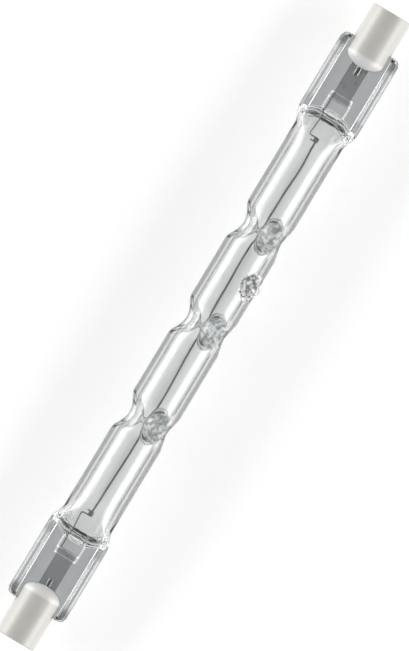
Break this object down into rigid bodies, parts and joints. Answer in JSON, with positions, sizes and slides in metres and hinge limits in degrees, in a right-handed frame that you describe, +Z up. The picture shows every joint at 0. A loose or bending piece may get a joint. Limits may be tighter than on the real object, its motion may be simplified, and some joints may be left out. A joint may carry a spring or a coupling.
{
  "type": "linear halogen bulb",
  "caption": "Double-ended linear halogen bulb: clear quartz tube with pinched waists, a coiled filament on its axis, flat pinch seals and slotted ceramic caps with recessed contacts.",
  "frame": {"origin": "centre of the bulb's length and width, on the ground below the tube", "axes": "+X along the bulb's axis towards the end at the upper right of the picture, +Y to the picture's upper left, +Z up; the pinch seals lie level"},
  "size_m": [0.1176, 0.0108, 0.009],
  "materials": {
    "clear_quartz": "clear, polished by fire",
    "tungsten": "drawn wire, coiled",
    "molybdenum_wire": "drawn wire",
    "molybdenum_foil": "rolled foil, dull",
    "white_ceramic": "unglazed, smooth",
    "nickel_contact": "plated, satin",
    "cap_cement": "dry, grainy"
  },
  "bodies": {
    "root": {"quartz_envelope": "clear_quartz", "filament": "tungsten", "inner_lead_right": "molybdenum_wire", "sealing_foil_right": "molybdenum_foil", "outer_lead_right": "molybdenum_wire", "ceramic_cap_right": "white_ceramic", "contact_button_right": "nickel_contact", "cap_cement_right": "cap_cement", "inner_lead_left": "molybdenum_wire", "sealing_foil_left": "molybdenum_foil", "outer_lead_left": "molybdenum_wire", "ceramic_cap_left": "white_ceramic", "contact_button_left": "nickel_contact", "cap_cement_left": "cap_cement"}
  },
  "joints": []
}
